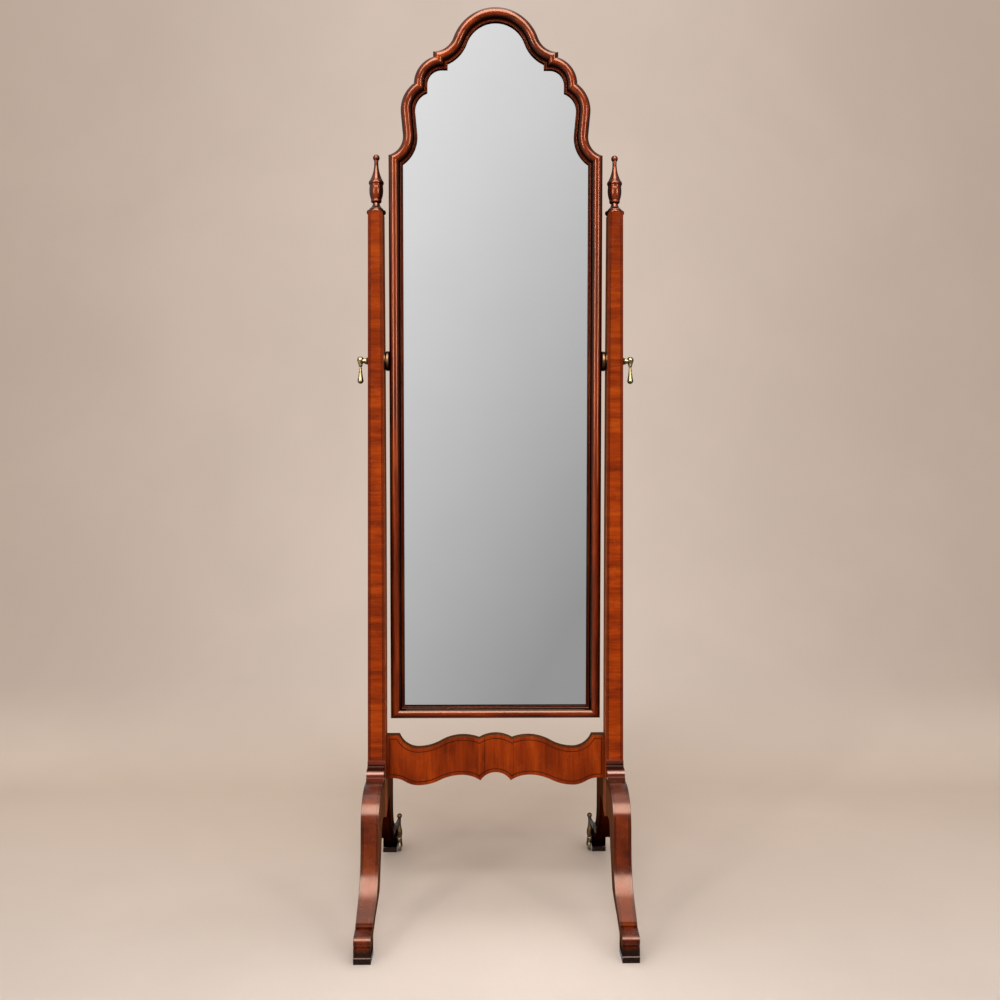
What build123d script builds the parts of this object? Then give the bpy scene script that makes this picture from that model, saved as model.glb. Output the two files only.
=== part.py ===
from build123d import *
import math
import os

# Cheval mirror: a tilting framed glass between two posts on splayed ogee legs.
# Millimetres. Origin on the floor, at the middle of the footprint. +Z up,
# the front faces -Y, and the left hand side is -X.

# Posts
post_outer = 234.2          # outer face from the middle of the stand
post_inner_foot = 202.4     # inner face where the stretcher joins
post_inner_middle = 203.9
post_inner_top = 207.8
post_depth = 44.0
post_top = 1279.0
post_cusp = 162.0           # tip of the post between the two arches
arch_at_post = 170.0        # arch height at the faces of the post
taper_middle = 700.0        # height where post_inner_middle holds
post_axis_y = -31.5         # the rear legs reach further than the front ones

# Finials
finial_x = 221.0
finial_height = 110.0
spigot_radius = 5.0
spigot_length = 18.0

# Legs and feet
leg_top = 243.0
arch_apex = 179.0
knee_inner = 202.6          # inner face of a leg down to the ankle
foot_inner = 205.4          # inner face of the foot
ankle_high = 74.0
ankle_low = 46.0
pad_height = 10.6
pad_margin = 0.8
front_toe = 204.0           # reach of the toe from the face of the post
rear_toe = 267.0
foot_length = 37.0
cap_height = 30.0
cap_reach = 27.0
dowel_radius = 4.0
dowel_length = 44.0
dowel_heights = (192.0, 226.0)

# Stretcher
stretcher_thick = 20.0
shoulder_top = 315.0
valley_top = 290.8
lobe_top = 312.7
peak_top = 315.7
shoulder_bottom = 236.7
belly_bottom = 223.5
hump_bottom = 242.4
peak_bottom = 247.2
shoulder_reach = 178.0
valley_reach = 143.0
lobe_reach = 60.0
cusp_reach = 30.5
end_reach = 190.0
hump_reach = 62.0
lower_cusp_reach = 28.0
lower_cusp = 232.0
tenon_length = 18.0
tenon_inset = 10.0

# Mirror frame, measured in its own plane from the tilt axis
pivot_height = 1006.5
rest_lean = 2.5             # forward lean at rest, degrees
frame_half = 196.4
frame_bottom = -668.0
moulding_width = 26.0
rail_width = 23.0
moulding_crest = 22.0
axis_from_back = 7.5        # tilt axis in front of the frame's back
rabbet_lap = 7.0
rabbet_depth = 8.5
arch_centre = 560.7
arch_radius = 82.0
ear_x = 114.2
ear_tip = 562.7
lobe_centre = (99.0, 505.0)
lobe_radius = 50.4
lobe_width = 24.0           # the moulding narrows a little on the small lobes
side_centre = (114.0, 457.7)
side_radius = 59.8
hollow_centre = (204.9, 410.2)
hollow_radius = 35.1

# Glass and back
glass_thick = 4.0
glass_clearance = 0.9
backboard_thick = 6.0
backboard_inset = 10.0
back_screw_inset = 14.5
block_length = 28.0
block_width = 6.0

# Pivot hardware
screw_radius = 4.25
running_gap = 0.05
face_gap = 0.3
screw_depth = 13.0          # length of screw inside the stile
washer_seat = 206.2
washer_radius = 17.0
boss_radius = 18.4
boss_outer = 203.7
plate_thick = 2.5
plate_width = 9.0
plate_length = 66.0
plate_screw_offset = 26.0
socket_radius = 6.5
rosette_radius = 9.2
rosette_reach = 5.7
head_offset = 16.0          # handle axis outside the post
head_radius = 6.4
drop_pin_below = 7.2
drop_pin_radius = 0.9
drop_eye_radius = 2.7
drop_neck_below = 12.6
drop_belly_below = 36.3
drop_radius = 5.7
slot_width = 2.6
tongue_width = 2.0

# Castors beside the rear feet, measured from the post axis
kingpin_x = 198.9
kingpin_y = 240.0
kingpin_radius = 2.5
castor_trail = 20.0
wheel_radius = 12.0
wheel_width = 5.2
wheel_lift = 0.3
axle_radius = 1.8
cheek_thick = 1.4
fork_boss_radius = 6.0
fork_boss_foot = 36.0
fork_boss_top = 56.0
ball_height = 80.0
ball_radius = 5.2
bracket_plate = (153.0, 85.0)
bracket_plate_size = (22.0, 14.0)
bracket_thick = 2.5


def front(y):
    """Y of a point that lies y behind the post axis."""
    return post_axis_y + y


def flipped(shape):
    """The same shape on the right hand side."""
    return mirror(shape, about=Plane.YZ)


def solid_between(face, x_from, x_to):
    """A face in the YZ plane, extruded from one X to another."""
    return Pos(x_from, 0, 0) * extrude(face, x_to - x_from, dir=(1, 0, 0))


def rod_x(radius, x_from, x_to, y, z):
    """A round rod along X."""
    return Pos((x_from + x_to) / 2, y, z) * Rot(0, 90, 0) * Cylinder(radius, abs(x_to - x_from))


def rod_y(radius, y_from, y_to, x, z):
    """A round rod along Y."""
    return Pos(x, (y_from + y_to) / 2, z) * Rot(90, 0, 0) * Cylinder(radius, abs(y_to - y_from))


def turned(points_and_curves, axis):
    """A closed half section turned about an axis."""
    return revolve(make_face(Wire(points_and_curves)), axis)


def ball_arc(neck, centre, radius, up=1):
    """Arc of a ball on the axis, from its neck round to the far pole."""
    foot = centre - up * math.sqrt(radius ** 2 - neck ** 2)
    return ThreePointArc((neck, foot), (radius, centre), (0, centre + up * radius))


def quarter_ball(centre, radius, up=1):
    """Rounded end on the axis: a quarter circle out to its pole."""
    side = radius * math.sqrt(0.5)
    return ThreePointArc((radius, centre), (side, centre + up * side), (0, centre + up * radius))


# Stand: posts, finials, legs, mouldings and stretcher

def post_blank():
    half = post_depth / 2
    taper = ThreePointArc((-post_inner_foot, 0, post_cusp),
                          (-post_inner_middle, 0, taper_middle),
                          (-post_inner_top, 0, post_top))
    outline = Wire([
        taper,
        Line((-post_inner_top, 0, post_top), (-post_outer, 0, post_top)),
        Line((-post_outer, 0, post_top), (-post_outer, 0, post_cusp)),
        Line((-post_outer, 0, post_cusp), (-post_inner_foot, 0, post_cusp)),
    ])
    blank = Pos(0, front(half), 0) * extrude(make_face(outline), post_depth, dir=(0, -1, 0))
    arches = make_face(Wire([
        Line((0, front(0), post_cusp), (0, front(half + 1), arch_at_post + 0.4)),
        Line((0, front(half + 1), arch_at_post + 0.4), (0, front(half + 1), 0)),
        Line((0, front(half + 1), 0), (0, front(-half - 1), 0)),
        Line((0, front(-half - 1), 0), (0, front(-half - 1), arch_at_post + 0.4)),
        Line((0, front(-half - 1), arch_at_post + 0.4), (0, front(0), post_cusp)),
    ]))
    return blank - solid_between(arches, -post_outer - 1, 0)


def left_post_solid():
    post = post_blank()
    post -= rod_x(screw_radius + running_gap, -post_outer - 1, -200, front(0), pivot_height)
    post -= rod_x(washer_radius, -washer_seat, -200, front(0), pivot_height)
    post -= Pos(-finial_x, front(0), post_top - spigot_length / 2) * Cylinder(spigot_radius, spigot_length)
    post -= left_tenon()
    for dowel in left_dowels():
        post -= dowel
    return post


def left_finial_solid():
    """Urn finial: base disc, waist, urn, collar, long neck and ball."""
    z = post_top
    base = [(16.8, 0.0), (16.8, 5.5), (12.7, 9.0)]
    neck_foot = (6.2, 20.0)
    bead = (9.4, 26.0)
    urn_top = (12.4, 50.0)
    collar = (13.9, 57.5)
    ball_centre = finial_height - 6.2
    ball = ball_arc(4.1, ball_centre, 6.2)
    section = [
        Line((0, 0), (0, -spigot_length)),
        Line((0, -spigot_length), (spigot_radius, -spigot_length)),
        Line((spigot_radius, -spigot_length), (spigot_radius, 0)),
        Line((spigot_radius, 0), base[0]),
        ThreePointArc(base[0], (base[0][0] + 1.0, base[1][1] / 2), base[1]),
        ThreePointArc(base[1], (13.4, 6.6), base[2]),
        ThreePointArc(base[2], (8.2, 13.8), neck_foot),
        ThreePointArc(neck_foot, (9.6, 22.4), bead),
        ThreePointArc(bead, (12.2, 36.0), urn_top),
        Line(urn_top, (12.4, 53.5)),
        ThreePointArc((12.4, 53.5), collar, (12.0, 61.5)),
        ThreePointArc((12.0, 61.5), (6.2, 76.0), ball @ 0),
        ball,
        Line((0, finial_height), (0, 0)),
    ]
    lifted = Pos(-finial_x, front(0), z) * Rot(90, 0, 0) * turned(section, Axis.Y)
    return lifted


def leg_outline(toe, knee, ankle, apex, shin):
    """Side view of an ogee leg. X is the reach from the post, Y the height."""
    heel = toe - foot_length
    top = Spline((cap_reach + 5, leg_top), (0.66 * knee, 238.0), (0.93 * knee, 215.0),
                 (knee, 170.0), (1.04 * knee, 122.0), ankle, (0.86 * toe, 47.5), (toe - 8, 43.5),
                 tangents=[(1, 0), (1, -0.12)])
    under = Spline((heel, 32.0), shin, (0.68 * knee, 117.0), (0.55 * knee, 150.0), (apex, arch_apex),
                   tangents=[(-1, 0.35), (-1, 0)])
    return Wire([
        Line((0, leg_top), (cap_reach + 5, leg_top)),
        top,
        ThreePointArc((toe - 8, 43.5), (toe, 35.0), (toe - 5, 27.0)),
        Line((toe - 5, 27.0), (toe - 1.6, 25.0)),
        Line((toe - 1.6, 25.0), (toe - 1.6, pad_height)),
        Line((toe - 1.6, pad_height), (heel, pad_height)),
        Line((heel, pad_height), (heel, 32.0)),
        under,
        ThreePointArc((apex, arch_apex), (0.45 * apex, arch_apex - 2.6), (0, arch_at_post)),
        Line((0, arch_at_post), (0, leg_top)),
    ])


def front_leg_outline():
    return leg_outline(front_toe, 106.0, (139.0, 77.0), 37.0, (93.0, 76.0))


def rear_leg_outline():
    return leg_outline(rear_toe, 115.0, (166.0, 76.0), 40.0, (122.0, 74.0))


def leg_solid(outline, sign):
    """A leg on the left side. sign is -1 for the front and 1 for the rear."""
    face = make_face(outline)
    leg = extrude(Plane.YZ * face, post_outer - post_inner_foot)
    leg = Pos(-post_outer, post_depth / 2, 0) * leg
    if sign < 0:
        leg = mirror(leg, about=Plane.XZ)
    leg = Pos(0, post_axis_y, 0) * leg
    waste = make_face(Polyline([
        (-knee_inner, 0, ankle_high), (-foot_inner, 0, ankle_low), (-foot_inner, 0, 0),
        (-190, 0, 0), (-190, 0, leg_top + 1), (-knee_inner, 0, leg_top + 1), (-knee_inner, 0, ankle_high),
    ]))
    leg -= Pos(0, front(400), 0) * extrude(waste, 800, dir=(0, -1, 0))
    pegs = left_dowels()
    if sign > 0:
        pegs += left_castor_screws()
    for peg in pegs:
        leg -= peg
    return leg


def left_dowels():
    """Two dowels join each leg to its post."""
    middle = (post_outer + post_inner_foot) / 2
    dowels = []
    for height in dowel_heights:
        for side in (-1, 1):
            face_y = front(side * post_depth / 2)
            dowels.append(rod_y(dowel_radius, face_y - dowel_length / 2 + side * 3,
                                face_y + dowel_length / 2 + side * 3, -middle, height))
    return dowels


def cap_moulding_solid(sign):
    """The stepped moulding where the leg meets the post."""
    face_y = post_depth / 2
    low = leg_top
    outline = Wire([
        Line((0, low + cap_height), (4.6, low + cap_height - 1.5)),
        Line((4.6, low + cap_height - 1.5), (4.6, low + 23.5)),
        ThreePointArc((4.6, low + 23.5), (6.4, low + 19.0), (11.5, low + 17.6)),
        ThreePointArc((11.5, low + 17.6), (21.5, low + 14.5), (24.0, low + 6.0)),
        Line((24.0, low + 6.0), (cap_reach, low + 4.6)),
        Line((cap_reach, low + 4.6), (cap_reach, low)),
        Line((cap_reach, low), (0, low)),
        Line((0, low), (0, low + cap_height)),
    ])
    cap = extrude(Plane.YZ * make_face(outline), post_outer - knee_inner)
    cap = Pos(-post_outer, face_y, 0) * cap
    if sign < 0:
        cap = mirror(cap, about=Plane.XZ)
    return Pos(0, post_axis_y, 0) * cap


def foot_pad_solid(toe, sign):
    """The flat pad that stands on the floor."""
    length = foot_length + 2 * pad_margin
    width = post_outer - foot_inner
    pad = Box(width, length, pad_height, align=(Align.MIN, Align.CENTER, Align.MIN))
    pad = chamfer(pad.edges().group_by(Axis.Z)[-1], 1.2)
    reach = post_depth / 2 + toe - pad_margin - length / 2 + 0.8
    return Pos(-post_outer, front(sign * reach), 0) * pad


def sway(start, end):
    """Two equal arcs from start to end, level at both ends."""
    (x0, z0), (x1, z1) = start, end
    middle = ((x0 + x1) / 2, (z0 + z1) / 2)
    first = TangentArc((x0, z0), middle, tangent=(x1 - x0, 0))
    second = TangentArc((x1, z1), middle, tangent=(x0 - x1, 0))
    return [first, second]


def stretcher_half():
    """Right half of the serpentine stretcher, as edges from top middle to bottom middle."""
    valley_bend = ((shoulder_reach - valley_reach) ** 2 + (shoulder_top - valley_top) ** 2)
    valley_bend /= 2 * (shoulder_top - valley_top)
    lobe_bend = (((valley_reach - lobe_reach) / 2) ** 2 + ((lobe_top - valley_top) / 2) ** 2)
    lobe_bend /= lobe_top - valley_top
    cusp_top = lobe_top - lobe_bend + math.sqrt(lobe_bend ** 2 - (lobe_reach - cusp_reach) ** 2)
    inner = post_inner_foot
    slope = math.asin((shoulder_reach - valley_reach) / valley_bend)
    return [
        ThreePointArc((0, peak_top), (cusp_reach / 2, peak_top - 2.0), (cusp_reach, cusp_top)),
        TangentArc((lobe_reach, lobe_top), (cusp_reach, cusp_top), tangent=(-1, 0)),
        *sway((lobe_reach, lobe_top), (valley_reach, valley_top)),
        CenterArc((valley_reach, valley_top + valley_bend), valley_bend, -90, math.degrees(slope)),
        Line((shoulder_reach, shoulder_top), (inner, shoulder_top)),
        Line((inner, shoulder_top), (inner, shoulder_bottom)),
        Line((inner, shoulder_bottom), (end_reach, shoulder_bottom)),
        *sway((end_reach, shoulder_bottom), (valley_reach, belly_bottom)),
        *sway((valley_reach, belly_bottom), (hump_reach, hump_bottom)),
        TangentArc((hump_reach, hump_bottom), (lower_cusp_reach, lower_cusp), tangent=(-1, 0)),
        ThreePointArc((lower_cusp_reach, lower_cusp), (lower_cusp_reach / 2, peak_bottom - 3.1),
                      (0, peak_bottom)),
    ]


def left_tenon():
    height = shoulder_top - shoulder_bottom - 2 * tenon_inset
    middle = (shoulder_top + shoulder_bottom) / 2
    tenon = Box(tenon_length, stretcher_thick / 2, height, align=(Align.MAX, Align.CENTER, Align.CENTER))
    return Pos(-post_inner_foot, front(0), middle) * tenon


def stretcher_solid():
    half = make_face(Wire(stretcher_half() + [Line((0, peak_bottom), (0, peak_top))]))
    half = Rot(90, 0, 0) * extrude(half, stretcher_thick)
    half = Pos(0, front(stretcher_thick / 2), 0) * half
    wood = half + flipped(half)
    wood -= post_blank()
    wood -= flipped(post_blank())
    return wood + left_tenon() + flipped(left_tenon())


# Mirror frame: one moulding section run round the outline, cut to mitres

def moulding_section(width):
    """Cushion moulding. X runs inwards from the outer edge, Y forwards from the back."""
    k = width / moulding_width
    inner = width
    step = width - rabbet_lap
    crest = moulding_crest
    return Wire([
        Line((0, 0), (0, 12.5)),
        ThreePointArc((0, 12.5), (3.6 * k, 19.4), (10.5 * k, crest)),
        ThreePointArc((10.5 * k, crest), (16.4 * k, 19.9), (19.6 * k, 14.6)),
        ThreePointArc((19.6 * k, 14.6), (20.9 * k, 12.7), (23.0 * k, 12.0)),
        ThreePointArc((23.0 * k, 12.0), (24.8 * k, 13.6), (inner, 11.6)),
        Line((inner, 11.6), (inner, rabbet_depth)),
        Line((inner, rabbet_depth), (step, rabbet_depth)),
        Line((step, rabbet_depth), (step, 0)),
        Line((step, 0), (0, 0)),
    ])


def run_moulding(path, start, inward, along, width=moulding_width):
    """Sweep the section along a path in the mirror plane (X across, Z up)."""
    plane = Plane(origin=(start[0], 0, start[1]), x_dir=(inward[0], 0, inward[1]),
                  z_dir=(along[0], 0, along[1]))
    section = plane * make_face(moulding_section(width))
    return sweep(section, path=Wire(path))


def arc_xz(centre, radius, start_angle, sweep_angle):
    """An arc in the mirror plane."""
    points = []
    for part in (0.0, 0.5, 1.0):
        angle = math.radians(start_angle + part * sweep_angle)
        points.append((centre[0] + radius * math.cos(angle), 0, centre[1] + radius * math.sin(angle)))
    return ThreePointArc(*points)


def line_xz(start, end):
    return Line((start[0], 0, start[1]), (end[0], 0, end[1]))


def mitre_side(outer, inner, side):
    """A block on one side of the mitre line through two points of the mirror plane."""
    direction = Vector(inner[0] - outer[0], 0, inner[1] - outer[1]).normalized()
    across = Vector(-direction.Z, 0, direction.X) * side
    plane = Plane(origin=(outer[0], 0, outer[1]), x_dir=direction, z_dir=across)
    return plane * Box(3000, 200, 1500, align=(Align.CENTER, Align.CENTER, Align.MIN))


def tangent_angle():
    """Turn of the line that runs from the side lobe into the shoulder hollow."""
    across = hollow_centre[0] - side_centre[0]
    down = side_centre[1] - hollow_centre[1]
    spread = math.acos((side_radius + hollow_radius) / math.hypot(across, down))
    return math.degrees(spread - math.atan2(down, across))


def ear_radius():
    """Radius of the hollow between the arch and the ear."""
    rise = ear_tip - arch_centre
    return (ear_x ** 2 + rise ** 2 - arch_radius ** 2) / (2 * (arch_radius - rise))


def ear_turn():
    return math.degrees(math.asin(ear_x / (arch_radius + ear_radius())))


def circle_height(centre, radius, x, sign):
    """Height of a circle above or below its centre at a given distance out."""
    return centre[1] + sign * math.sqrt(radius ** 2 - (x - centre[0]) ** 2)


def outline_marks(inset):
    """Corner points of the right half outline, moved inwards by inset."""
    turn = math.radians(ear_turn())
    hollow = ear_radius() + inset
    lean = math.radians(tangent_angle())
    lobe_reach_in = lobe_radius - inset * lobe_width / moulding_width
    lobe_x = lobe_centre[0] + lobe_reach_in
    edge = frame_half - inset
    return {
        "crown": (0, arch_centre + arch_radius - inset),
        "spring": ((arch_radius - inset) * math.sin(turn), arch_centre + (arch_radius - inset) * math.cos(turn)),
        "ear_tip": (ear_x - inset, circle_height((ear_x, ear_tip + ear_radius()), hollow, ear_x - inset, -1)),
        "ear_foot": (ear_x - inset, lobe_centre[1] + lobe_reach_in),
        "lobe_top": (lobe_centre[0], lobe_centre[1] + lobe_reach_in),
        "lobe_side": (lobe_x, lobe_centre[1]),
        "notch": (lobe_x, circle_height(side_centre, side_radius - inset, lobe_x, 1)),
        "side_end": (side_centre[0] + (side_radius - inset) * math.cos(lean),
                     side_centre[1] + (side_radius - inset) * math.sin(lean)),
        "hollow_start": (hollow_centre[0] - (hollow_radius + inset) * math.cos(lean),
                         hollow_centre[1] - (hollow_radius + inset) * math.sin(lean)),
        "shoulder": (edge, circle_height(hollow_centre, hollow_radius + inset, edge, -1)),
    }


def outline_edges(inset, bottom):
    """Closed outline of the mirror, inset from the frame's outer edge."""
    m = outline_marks(inset)

    def through(start, end, centre, radius):
        middle = Vector((start[0] + end[0]) / 2 - centre[0], (start[1] + end[1]) / 2 - centre[1])
        middle = middle.normalized() * radius
        return ThreePointArc(start, (centre[0] + middle.X, centre[1] + middle.Y), end)

    half = [
        through(m["crown"], m["spring"], (0, arch_centre), arch_radius - inset),
        through(m["spring"], m["ear_tip"], (ear_x, ear_tip + ear_radius()), ear_radius() + inset),
        Line(m["ear_tip"], m["ear_foot"]),
        Line(m["ear_foot"], m["lobe_top"]),
        through(m["lobe_top"], m["lobe_side"], lobe_centre, m["lobe_side"][0] - lobe_centre[0]),
        Line(m["lobe_side"], m["notch"]),
        through(m["notch"], m["side_end"], side_centre, side_radius - inset),
        Line(m["side_end"], m["hollow_start"]),
        through(m["hollow_start"], m["shoulder"], hollow_centre, hollow_radius + inset),
        Line(m["shoulder"], (frame_half - inset, bottom)),
        Line((frame_half - inset, bottom), (0, bottom)),
    ]
    return half + [edge.mirror(Plane.YZ) for edge in half]


def outline_board(inset, bottom, thick, back_y):
    """A flat board of the mirror's outline. back_y is the Y of its rear face."""
    board = extrude(make_face(Wire(outline_edges(inset, bottom))), thick)
    return Pos(0, back_y, 0) * Rot(90, 0, 0) * board


def mitres():
    """Mitre lines of the left half: outer point, inner point."""
    outer = outline_marks(0.0)
    inner = outline_marks(moulding_width)
    ear_foot_height = circle_height(lobe_centre, lobe_radius, ear_x, 1)
    lines = {
        "ear_upper": (outer["ear_tip"], inner["ear_tip"]),
        "ear_lower": ((ear_x, ear_foot_height), inner["ear_foot"]),
        "notch": (outer["notch"], inner["notch"]),
        "shoulder": (outer["shoulder"], inner["shoulder"]),
        "corner": ((frame_half, frame_bottom), (frame_half - moulding_width, frame_bottom + rail_width)),
    }
    return {name: tuple((-x, z) for x, z in ends) for name, ends in lines.items()}


def crest_arch_solid():
    """Crown of the crest with its two eared returns."""
    cut = mitres()
    radius = ear_radius()
    turn = ear_turn()
    path = [
        arc_xz((0, arch_centre), arch_radius, 90, turn),
        arc_xz((-ear_x, ear_tip + radius), radius, turn - 90, -turn),
    ]
    crown = run_moulding(path, (0, arch_centre + arch_radius), (0, -1), (-1, 0))
    crown &= mitre_side(*cut["ear_upper"], 1)
    drop = [line_xz((-ear_x, ear_tip + 5), (-ear_x, ear_tip - 60))]
    ear = run_moulding(drop, (-ear_x, ear_tip + 5), (1, 0), (0, -1))
    ear &= mitre_side(*cut["ear_upper"], -1)
    ear &= mitre_side(*cut["ear_lower"], 1)
    half = crown + ear
    return half + flipped(half)


def left_lobe_solid():
    cut = mitres()
    x, z = lobe_centre
    top = z + lobe_radius
    path = [
        line_xz((-x + 25, top), (-x, top)),
        arc_xz((-x, z), lobe_radius, 90, 90),
        line_xz((-x - lobe_radius, z), (-x - lobe_radius, z - 30)),
    ]
    lobe = run_moulding(path, (-x + 25, top), (0, -1), (-1, 0), lobe_width)
    lobe &= mitre_side(*cut["ear_lower"], -1)
    return lobe & mitre_side(*cut["notch"], 1)


def left_shoulder_solid():
    cut = mitres()
    lean = tangent_angle()
    side = (-side_centre[0], side_centre[1])
    hollow = (-hollow_centre[0], hollow_centre[1])
    ends = outline_marks(0.0)
    path = [
        arc_xz(side, side_radius, 100, 80 - lean),
        line_xz((-ends["side_end"][0], ends["side_end"][1]), (-ends["hollow_start"][0], ends["hollow_start"][1])),
        arc_xz(hollow, hollow_radius, -lean, lean - 90),
    ]
    start = math.radians(100)
    point = (side[0] + side_radius * math.cos(start), side[1] + side_radius * math.sin(start))
    shoulder = run_moulding(path, point, (-math.cos(start), -math.sin(start)), (-math.sin(start), math.cos(start)))
    shoulder &= mitre_side(*cut["notch"], -1)
    return shoulder & mitre_side(*cut["shoulder"], 1)


def left_stile_solid():
    cut = mitres()
    start = (-frame_half, outline_marks(0.0)["shoulder"][1] + 20)
    path = [line_xz(start, (-frame_half, frame_bottom - 20))]
    stile = run_moulding(path, start, (1, 0), (0, -1))
    stile &= mitre_side(*cut["shoulder"], -1)
    return stile & mitre_side(*cut["corner"], 1)


def bottom_rail_solid():
    cut = mitres()
    start = (-frame_half - 20, frame_bottom)
    path = [line_xz(start, (0, frame_bottom))]
    half = run_moulding(path, start, (0, 1), (1, 0), rail_width)
    half &= mitre_side(*cut["corner"], -1)
    return half + flipped(half)


def back_screw_places():
    """Screws round the back: points in the mirror plane."""
    edge = frame_half - back_screw_inset
    low = frame_bottom + back_screw_inset - (moulding_width - rail_width)
    places = [(x, low) for x in (-edge + 60, -45, 45, edge - 60)]
    for height in (-560, -330, -90, 150, 330):
        places += [(-edge, height), (edge, height)]
    crown = arch_radius - back_screw_inset
    for angle in (20, 70, 110, 160):
        turn = math.radians(angle)
        places.append((crown * math.cos(turn), arch_centre + crown * math.sin(turn)))
    return places


def back_screws():
    """Countersunk screws, heads flush with the back of the backboard."""
    section = [
        Line((0, 0), (3.4, 0)),
        Line((3.4, 0), (1.6, 2.2)),
        Line((1.6, 2.2), (1.6, 14.5)),
        Line((1.6, 14.5), (0, 17.0)),
        Line((0, 17.0), (0, 0)),
    ]
    screw = Rot(0, 0, 180) * turned(section, Axis.Y)
    return [Pos(x, backboard_thick, z) * screw for x, z in back_screw_places()]


def glazing_blocks():
    """Small wedges glued behind the edge of the glass."""
    wedge = make_face(Polyline([(0, 0), (block_width, 0), (0, 4.5), (0, 0)]))
    block = Pos(0, 0, -block_length / 2) * extrude(wedge, block_length)
    edge = frame_half - moulding_width + rabbet_lap
    low = frame_bottom + rail_width - rabbet_lap
    blocks = []
    for height in (-520, -240, 40, 290):
        blocks.append(Pos(-edge, 0, height) * mirror(block, about=Plane.XZ))
        blocks.append(Pos(edge, 0, height) * Rot(0, 0, 180) * block)
    for x in (-110, 0, 110):
        blocks.append(Pos(x, 0, low) * Rot(0, -90, 0) * mirror(block, about=Plane.XZ))
    return blocks


# Pivot hardware

def left_pivot_plate_blank():
    """Brass plate let into the edge of the stile, with the screw socket behind it."""
    face = -frame_half
    plate = Box(plate_thick, plate_width, plate_length, align=(Align.MIN, Align.CENTER, Align.CENTER))
    plate = Pos(face, 0, 0) * plate
    return plate + rod_x(socket_radius, face + plate_thick, face + screw_depth + 1, 0, 0)


def left_pivot_plate_solid():
    face = -frame_half
    bore = rod_x(screw_radius + running_gap, face - 1, face + screw_depth + 0.4, 0, 0)
    return left_pivot_plate_blank().cut(bore, *left_plate_screws())


def left_plate_screws():
    section = [
        Line((0, 0), (3.2, 0)),
        Line((3.2, 0), (1.6, 1.8)),
        Line((1.6, 1.8), (1.6, 12.0)),
        Line((1.6, 12.0), (0, 14.0)),
        Line((0, 14.0), (0, 0)),
    ]
    screw = Rot(0, 0, -90) * turned(section, Axis.Y)
    return [Pos(-frame_half, 0, z) * screw for z in (-plate_screw_offset, plate_screw_offset)]


def left_boss_solid():
    """Turned brass boss that the screw clamps against the post."""
    back = -frame_half
    rim = boss_radius
    outline = [
        Line((-boss_outer, screw_radius + running_gap), (-boss_outer, rim - 3.0)),
        ThreePointArc((-boss_outer, rim - 3.0), (-boss_outer + 1.1, rim - 0.9), (-boss_outer + 3.2, rim)),
        Line((-boss_outer + 3.2, rim), (back - 1.8, rim)),
        ThreePointArc((back - 1.8, rim), (back - 0.5, rim - 0.6), (back, rim - 1.8)),
        Line((back, rim - 1.8), (back, screw_radius + running_gap)),
        Line((back, screw_radius + running_gap), (-boss_outer, screw_radius + running_gap)),
    ]
    return turned(outline, Axis.X)


def left_washer_solid():
    washer = rod_x(washer_radius, -washer_seat, -boss_outer - face_gap, front(0), pivot_height)
    return washer - rod_x(screw_radius + running_gap, -washer_seat - 1, -200, front(0), pivot_height)


def left_rosette_solid():
    base = -post_outer
    tip = base - rosette_reach
    hole = screw_radius + running_gap
    outline = [
        Line((base, hole), (base, rosette_radius)),
        Line((base, rosette_radius), (base - 1.6, rosette_radius)),
        ThreePointArc((base - 1.6, rosette_radius), (base - 3.2, 6.7), (tip, 5.9)),
        Line((tip, 5.9), (tip, hole)),
        Line((tip, hole), (base, hole)),
    ]
    return Pos(0, front(0), pivot_height) * turned(outline, Axis.X)


def left_thumbscrew_solid():
    """Shank with an upright head, slotted below for the drop handle."""
    centre = -post_outer - head_offset
    shank = rod_x(screw_radius, centre, -frame_half + screw_depth, 0, 0)
    section = [
        Line((0, head_radius + 2.0), (0, -11.0)),
        Line((0, -11.0), (2.9, -11.0)),
        ThreePointArc((2.9, -11.0), (4.1, -6.0), (head_radius, 2.0)),
        quarter_ball(2.0, head_radius),
    ]
    head = Pos(centre, 0, 0) * Rot(90, 0, 0) * turned(section, Axis.Y)
    collar = rod_x(5.6, -post_outer - rosette_reach - face_gap, -post_outer - rosette_reach - 2.2, 0, 0)
    screw = shank + head + collar
    slot = Box(2 * head_radius + 2, slot_width, 8.2, align=(Align.CENTER, Align.CENTER, Align.MAX))
    screw -= Pos(centre, 0, -3.2) * slot
    return screw - rod_y(drop_pin_radius, -10, 10, centre, -drop_pin_below)


def left_drop_pin_solid():
    centre = -post_outer - head_offset
    half = 3.4
    return rod_y(drop_pin_radius, -half, half, centre, -drop_pin_below)


def left_drop_solid():
    """Pear drop handle with a flat eye on the pin."""
    centre = -post_outer - head_offset
    top = -drop_neck_below
    belly = -drop_belly_below
    section = [
        Line((0, top), (2.5, top)),
        ThreePointArc((2.5, top), (3.3, 0.6 * top + 0.4 * belly), (drop_radius, belly)),
        quarter_ball(belly, drop_radius, -1),
        Line((0, belly - drop_radius), (0, top)),
    ]
    pear = Rot(90, 0, 0) * turned(section, Axis.Y)
    eye = rod_y(drop_eye_radius, -tongue_width / 2, tongue_width / 2, 0, -drop_pin_below)
    stem_height = drop_neck_below - drop_pin_below + 1
    stem = Box(3.6, tongue_width, stem_height, align=(Align.CENTER, Align.CENTER, Align.MAX))
    drop = pear + eye + Pos(0, 0, -drop_pin_below) * stem
    drop -= rod_y(drop_pin_radius + running_gap, -5, 5, 0, -drop_pin_below)
    return Pos(centre, 0, 0) * drop


# Castors

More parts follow.
